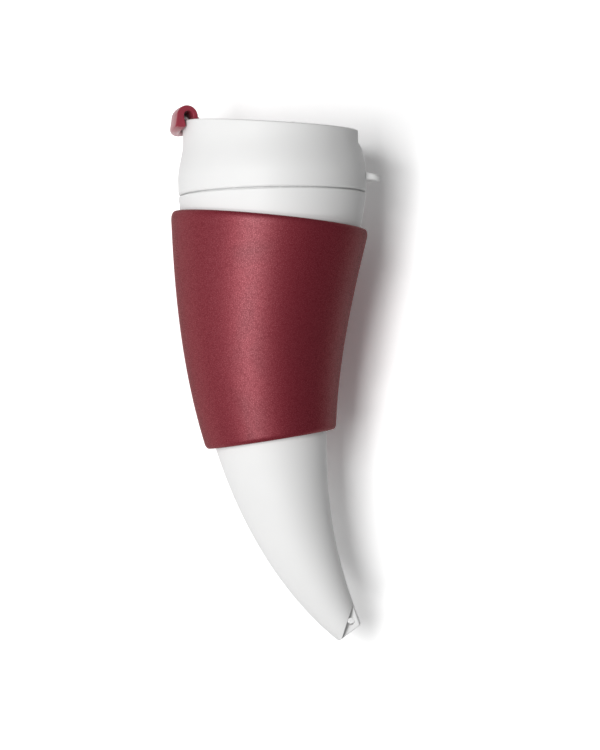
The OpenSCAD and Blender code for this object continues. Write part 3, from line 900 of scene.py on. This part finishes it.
# %% Section of the hook
leg_clear, hook_clear = 0.00045, 0.0013
leg_t, arch_t, tongue_t = 0.0024, 0.0025, 0.0034
leg_r = waist_r - rim_wall - leg_clear
hook_in_r = leg_r - leg_t
hook_gap_r = waist_r + lip_out + hook_clear
hook_r = hook_gap_r + tongue_t
arch_rise, tongue_drop = 0.0036, 0.0060
rim_sip_h = lid_h + waist_r * rim_slope
arch_h = rim_sip_h + arch_rise
tongue_h = rim_sip_h - tongue_drop
tongue_bow = 0.0026
hook_span = math.radians(46)
hook_turn = hook_span / 2
arm_half = 0.0080
arm_t = 0.0030
arm_low = pivot.z - mouth_z - arm_t / 2
arm_high = arm_low + arm_t
toe_in, toe_out = 0.0007, 0.0008
toe_r = (hook_r - hook_gap_r + toe_in + toe_out) / 2
toe_soft = 0.0004
out_arch, in_arch = (hook_r - hook_in_r) / 2, (hook_gap_r - leg_r) / 2


def arc(centre, r, start, end, steps):
    """Points of an arc between two angles in degrees."""
    a = np.radians(np.linspace(start, end, steps + 1))
    return np.stack([centre[0] + r * np.cos(a), centre[1] + r * np.sin(a)], axis=-1)


def hook_slice(turn):
    """The hook's section at an angle round the lid from its middle."""
    half, aside = hook_r * math.sin(hook_turn), hook_r * math.sin(turn)
    bow_r = (half ** 2 + tongue_bow ** 2) / (2 * tongue_bow)
    cut_h = tongue_h - toe_soft + bow_r - math.sqrt(bow_r ** 2 - aside ** 2)
    outside = arc((hook_in_r + out_arch, arch_h + arch_t - out_arch), out_arch, 180, 0, steps=28)
    toe = arc((hook_gap_r - toe_in + toe_r, tongue_h + toe_r), toe_r, 0, -180, steps=26)
    toe[:, 1] = toe_soft * np.logaddexp(toe[:, 1] / toe_soft, cut_h / toe_soft)
    inside = arc((leg_r + in_arch, arch_h - in_arch), in_arch, 0, 180, steps=18)
    line = np.concatenate([[(hook_in_r, arm_low), (hook_in_r, arm_high)],
                           np.linspace((hook_in_r, arm_high), outside[0], 5)[1:-1], outside,
                           np.linspace(outside[-1], toe[0], 6)[1:-1], toe,
                           np.linspace(toe[-1], inside[0], 6)[1:-1], inside,
                           np.linspace(inside[-1], (leg_r, arm_low), 5)[1:]])
    r, h = line.T
    return spun(r, mouth_z + h, turn) * (-1, 1, 1)


# %% Build the lever
arm_columns, end_columns = 17, 9
inner_turns = np.arcsin(np.linspace(-arm_half, arm_half, arm_columns) / hook_in_r)
outer_turns = np.linspace(inner_turns[-1], hook_turn, end_columns)
arm_root = math.sqrt(barrel_r ** 2 - (arm_t / 2) ** 2)
barrel_turn = math.degrees(math.acos(-arm_root / barrel_r))


def arm_slice(turn):
    """The arm and the barrel, from the top of the hook's leg round to its foot."""
    leg = hook_slice(turn)
    barrel = arc((pivot.x, pivot.z), barrel_r, barrel_turn, -barrel_turn, steps=28)
    line = np.concatenate([np.linspace(leg[1, [0, 2]], barrel[0], 12)[:-1], barrel,
                           np.linspace(barrel[-1], leg[0, [0, 2]], 12)[1:]])
    return np.stack([line[:, 0], np.full(len(line), leg[0, 1]), line[:, 1]], axis=-1)


form = Form()
for turns_round in (-outer_turns[::-1], outer_turns):
    form.grid(np.array([hook_slice(turn) for turn in turns_round]), wrap_columns=True)
middle = np.array([hook_slice(turn) for turn in inner_turns])
form.grid(np.concatenate([middle[:, 1:], middle[:, :1]], axis=1))
form.grid(np.array([arm_slice(turn) for turn in inner_turns]))
for side in (-1, 1):
    form.cap(hook_slice(side * hook_turn))
    form.cap(arm_slice(side * inner_turns[-1]))
sip_lever = form.build("sip_lever")
round_edges(sip_lever, plain_round)

# %% Drill the lever for the pin and the stopper
lever_clear = 0.00005
stem_r = sip_r / 3
barrel_end = Matrix.Translation((pivot.x, arm_half, pivot.z)) @ along_y
drill(sip_lever, barrel_end, pin_r + lever_clear, 2 * arm_half, fine_round)
stem_top = Matrix.Translation((sip_x, 0, mouth_z + arm_high))
drill(sip_lever, stem_top, stem_r + pin_clear, arm_t, fine_round)
dress(sip_lever, red_plastic, "lever", "sip_lever")

# %% [markdown]
# ## Stopper and pin
# The soft stopper is buttoned through the arm and hangs into the sip hole. The pin is a short length
# of drawn steel, cut and deburred. Both are turned forms.

# %% Red silicone
red_silicone, tree = finish("red_silicone", IOR=1.41, Subsurface_Weight=0.1, Subsurface_Scale=0.0005)
moulded = use(tree, grain, Grain_per_m=2200, Drift_per_m=120)
touched = use(tree, handled, Smudge_per_m=200)
link(red_silicone,
     Base_Color=blend_tones(tree, moulded["Drift"], (0.22, 0.014, 0.032), (0.27, 0.020, 0.042)),
     Roughness=span(tree, touched["Smudge"], 0.50, 0.65),
     Normal=relief(tree, moulded["Height"], depth=0.00006, strength=0.35))

# %% Turn the stopper
boss_clear, flange_clear = 0.0007, 0.000225
head_share = 1.7
deck_at_sip = lid_h - deck_depth - sip_x * rim_slope
boss_low = deck_at_sip - deck_t
boss_r = sip_r - boss_clear
flange_r = sip_r + rim_wall / 2
flange_low = deck_at_sip + flange_r * rim_slope + flange_clear
head_r = head_share * stem_r
head_top = arm_high + arm_t / 3
boss_round, head_round = 0.0011, 0.0009
stopper_line = soften([
    (0, boss_low, 0), (boss_r, boss_low, boss_round), (boss_r, flange_low, small_round),
    (flange_r, flange_low, soft_round), (flange_r, arm_low, soft_round), (stem_r, arm_low, fine_round),
    (stem_r, arm_high, fine_round), (head_r, arm_high, plain_round), (stem_r, head_top, head_round),
    (0, head_top, 0)])
stopper = lofted("stopper", turned(stopper_line, bore_sides) + (sip_x, 0, mouth_z), wrap_columns=True)
dress(stopper, red_silicone, "lever", "sip_plug")

# %% Steel and the pin
pin_steel, tree = finish("pin_steel", Metallic=1.0)
rings = node(tree, "TexWave", {"Vector": object_spot(tree), "Scale": 900, "Distortion": 1.5, "Detail": 2},
             wave_type="BANDS", bands_direction="Y").outputs["Fac"]
touched = use(tree, handled, Smudge_per_m=300)
link(pin_steel,
     Base_Color=blend_tones(tree, touched["Smudge"], (0.56, 0.56, 0.58), (0.66, 0.66, 0.67)),
     Roughness=span(tree, rings, 0.24, 0.36),
     Normal=relief(tree, rings, depth=0.00001, strength=0.4))

pin_sides = 48
pin_len = 2 * pin_half
pin_line = soften([(0, 0, 0), (pin_r, 0, small_round), (pin_r, -pin_len, small_round), (0, -pin_len, 0)])
pin = lofted("pin", placed(turned(pin_line, pin_sides), pin_end), wrap_columns=True)
dress(pin, pin_steel, "lid", "lever_pin")

# %% [markdown]
# ## Leather
# The sleeve is of dyed leather with a fine pebble grain and a waxed face. A single gloss can't give
# its look: the sheen is pale on the tops of the grain and red under it, and the rims don't turn
# white. So a thin coat whose share follows the grain gives the wax, a metallic share lets the
# deeper gloss take the dye's red, and a black edge tint holds the gloss back at glancing angles.

# %% Leather
pebbles_per_m = 1450
sway_per_m, sway_len = 700, 0.0006
red_leather, tree = finish("red_leather", Metallic=0.62, Specular_IOR_Level=0.0,
                           Specular_Tint=(0, 0, 0, 1), Coat_IOR=4.0, Coat_Roughness=0.48,
                           Sheen_Weight=0.25, Sheen_Roughness=0.30, Sheen_Tint=(1.0, 0.62, 0.58, 1))
spot = object_spot(tree)
sway = node(tree, "TexNoise", {"Vector": spot, "Scale": sway_per_m, "Detail": 2})
pull = node(tree, "VectorMath", {0: sway.outputs["Color"], 3: sway_len}, operation="SCALE")
swayed = node(tree, "VectorMath", {0: spot, 1: pull.outputs[0]}, operation="ADD")
cells = node(tree, "TexVoronoi", {"Vector": swayed.outputs[0], "Scale": pebbles_per_m},
             feature="DISTANCE_TO_EDGE")
pebble = span(tree, cells.outputs["Distance"], 0, 1, high=0.30)
hide = use(tree, grain, Grain_per_m=3200, Drift_per_m=55)
edge_mask = use(tree, sharp_edges, From=0.52, To=0.58, Breakup_per_m=350)
touched = use(tree, handled, Smudge_per_m=40)
grain_tone = blend_tones(tree, pebble, (0.193, 0.0080, 0.0208), (0.287, 0.0116, 0.0301))
drift_tone = blend_tones(tree, span(tree, hide["Drift"], 0, 0.25), grain_tone, (0.228, 0.0097, 0.0249))
# Darker edges: partly burnished leather, partly painted shade on the rolled edges.
burnished_and_shaded_tone = blend_tones(tree, span(tree, edge_mask["Wear"], 0, 0.55), drift_tone, (0.090, 0.004, 0.013))
matt = calc(tree, span(tree, pebble, 0.60, 0.52), span(tree, touched["Smudge"], -0.03, 0.04))
height = calc(tree, pebble, span(tree, hide["Height"], 0, 0.5, low=0.2, high=0.8))
link(red_leather,
     Base_Color=burnished_and_shaded_tone,
     Roughness=matt,
     Coat_Weight=span(tree, pebble, 0.075, 0.190),
     Normal=relief(tree, height, depth=0.00010, strength=0.22),
     Coat_Normal=relief(tree, pebble, depth=0.00005, strength=0.16))

# %% [markdown]
# ## Leather sleeve
# One piece of leather, nearly 3 mm thick, is wrapped round the horn and sewn edge to edge at the
# back. Its section is a thin loop that is round at the bottom and, at the top, rolls over further on
# the outside than on the inside. The loop is carried round the horn from one edge of the seam to the
# other. Near the seam the leather dips at every stitch hole and rolls over at the cut edge, and the
# mesh is finer there.

# %% Sizes of the sleeve
sleeve_top = 0.0120
sleeve_len = 0.1023
sleeve_end = sleeve_top + sleeve_len
lining_t = 0.0010
lining_in = 0.0003
lining_clear = 0.00015
leather_in = lining_in + lining_t + lining_clear
leather_t = 0.00285
leather_out = leather_in + leather_t
leather_edge = 0.0022
top_roll, top_inside = 0.0042, 0.0014
seam_half = 0.00006
stitch_half = 0.0030
stitch_pitch = 0.0046
stitch_slant = stitch_pitch / 2
stitch_s = sleeve_top + stitch_pitch * np.arange(1, math.floor(sleeve_len / stitch_pitch - 2) + 1)
back = math.pi / 2
print("stitches:", len(stitch_s))

# %% Relief of the leather at the seam
cut_dip, cut_reach = 0.0006, 0.0006
swell_rise, swell_off, swell_reach = 0.00012, 0.0017, 0.0012
hole_dip, hole_reach = 0.00055, 0.0007


def seam_relief(s, turn):
    """How far the leather's outside dips at the cut edges and stitch holes, or swells beside them."""
    reach = (horn_r(s) + leather_out) * (turn - back)
    dip = -cut_dip * np.exp(-((np.abs(reach) - seam_half) / cut_reach) ** 2)
    swell = swell_rise * np.exp(-((np.abs(reach) - swell_off) / swell_reach) ** 2)
    for side, shift in ((-1, 0.0), (1, stitch_slant)):
        for hole in stitch_s + shift:
            far = ((reach - side * stitch_half) ** 2 + (s - hole) ** 2) / hole_reach ** 2
            dip = dip - hole_dip * np.exp(-far)
    return dip + swell


# %% Wrap the leather
wall_rows, roll_rows, columns = 176, 9, 220
seam_crowd = 0.88
half_t = leather_t / 2
crest = -half_t / 3
roll = np.linspace(math.pi / 2, 0, roll_rows)[1:-1]


def half_section(face, top_reach):
    """The section's outer or inner face, from its lowest point to its crest, as (s, across)."""
    low_s, high_s = sleeve_end - leather_edge, sleeve_top + top_reach
    bottom = [(low_s + leather_edge * math.sin(a), face * math.cos(a)) for a in roll]
    wall = [(s, face) for s in np.linspace(low_s, high_s, wall_rows)]
    top = [(high_s - top_reach * math.sin(a), crest + (face - crest) * math.cos(a)) for a in roll[::-1]]
    return [(sleeve_end, 0)] + bottom + wall + top + [(sleeve_top, crest)]


outer_half, inner_half = half_section(half_t, top_roll), half_section(-half_t, top_inside)
s, across = np.array(outer_half + inner_half[-2:0:-1]).T
even = np.linspace(0, 1, columns)[:, None]
share = even - seam_crowd * np.sin(2 * math.pi * even) / (2 * math.pi)
gap = seam_half / horn_r(s)
wrap = back + gap + (2 * math.pi - 2 * gap) * share
to_seam = np.where(wrap > back + math.pi, wrap - 2 * math.pi, wrap)
outside = np.clip(across / half_t, 0, 1)
r = horn_r(s) + leather_in + half_t + across + outside * seam_relief(s, to_seam)
skin_points = round_horn(s, r, wrap)

form = Form()
form.grid(skin_points, wrap_columns=True)
for edge_points in (skin_points[0], skin_points[-1]):
    half = len(edge_points) // 2
    mirrored = np.roll(edge_points[::-1], 1, axis=0)
    form.grid(np.array([edge_points[:half + 1], mirrored[:half + 1]]))
leather_sleeve = form.build("leather_sleeve_skin")
dress(leather_sleeve, red_leather, "sleeve", "leather_sleeve")

# %% [markdown]
# ## Lining and seam thread
# A thin felted lining is glued inside the leather and keeps it from sliding on the plastic. The
# seam is sewn with slanted stitches of waxed two-ply thread. Each ply is a tube wound round the
# stitch's line, which comes out of one hole, crosses the seam and dives into the next.

# %% Felt and thread
lining_fabric, tree = finish("lining_fabric", Sheen_Weight=0.4, Sheen_Roughness=0.6, Specular_IOR_Level=0.2)
felt = use(tree, fibres, Fibre_per_m=2400, Clump_per_m=260)
link(lining_fabric,
     Base_Color=blend_tones(tree, felt["Tone"], (0.075, 0.015, 0.022), (0.115, 0.028, 0.038)),
     Roughness=span(tree, felt["Height"], 0.85, 1.0, low=0.3, high=0.7),
     Normal=relief(tree, felt["Height"], depth=0.0003, strength=0.8))

thread_look, tree = finish("thread", Sheen_Weight=0.2)
ply = use(tree, fibres, Fibre_per_m=6000, Clump_per_m=700)
link(thread_look,
     Base_Color=blend_tones(tree, ply["Tone"], (0.15, 0.010, 0.024), (0.24, 0.022, 0.045)),
     Roughness=span(tree, ply["Height"], 0.45, 0.65, low=0.3, high=0.7),
     Normal=relief(tree, ply["Height"], depth=0.00008, strength=0.5))

# %% Lining
lining_rows, lining_sides, area_steps = 70, 160, 400
lining_mid, lining_out = lining_in + lining_t / 2, lining_in + lining_t
lining_low, lining_high = sleeve_end - leather_t, sleeve_top + leather_t
rise = np.linspace(lining_low, lining_high, lining_rows)
lining_line = [(s, lining_out) for s in rise] + [(lining_high - plain_round, lining_mid)]
lining_line += [(s, lining_in) for s in rise[::-1]] + [(lining_low + plain_round, lining_mid)]
s, off = np.array(lining_line).T
lining_points = round_horn(s, horn_r(s) + off, full_turn(lining_sides)[:, None])
lining = lofted("lining", lining_points, wrap_rows=True, wrap_columns=True)
dress(lining, lining_fabric, "sleeve", "sleeve_lining")

# %% Stitches
ply_r = 0.00025
ply_off = 0.00021
lay_turns = 4
path_steps = 44
hole_depth, stitch_rise = 0.0013, 0.0018
stitch_square = 0.3
stitch_ends = 0.02
probe = 0.001


def unit(vectors):
    """Vectors with the same directions and a length of one."""
    return vectors / np.linalg.norm(vectors, axis=1)[:, None]


def tube(form, path, r, sides=8):
    """Adds a round tube along a path, closed at both ends."""
    ahead = unit(np.gradient(path, axis=0))
    first = unit(np.cross(ahead, (0.0, 0.0, 1.0)))
    second = np.cross(ahead, first)
    turn = full_turn(sides)[None, :, None]
    form.bar(path[:, None] + r * (np.cos(turn) * first[:, None] + np.sin(turn) * second[:, None]))


form = Form()
t = np.linspace(0, 1, path_steps)
hump = np.sin(math.pi * np.clip(t, stitch_ends, 1 - stitch_ends)) ** stitch_square
lift = -hole_depth + stitch_rise * hump
for start in stitch_s:
    s = start + stitch_slant * t
    r = horn_r(s) + leather_out
    turn = back + (2 * t - 1) * stitch_half / r
    centre = round_horn(s, r + lift, turn)
    up = unit(round_horn(s, r + lift + probe, turn) - centre)
    aside = unit(np.cross(np.gradient(centre, axis=0), up))
    for phase in (0, math.pi):
        wind = (2 * math.pi * lay_turns * t + phase)[:, None]
        tube(form, centre + ply_off * (np.cos(wind) * up + np.sin(wind) * aside), ply_r)
dress(form.build("stitches"), thread_look, "sleeve", "seam_thread")
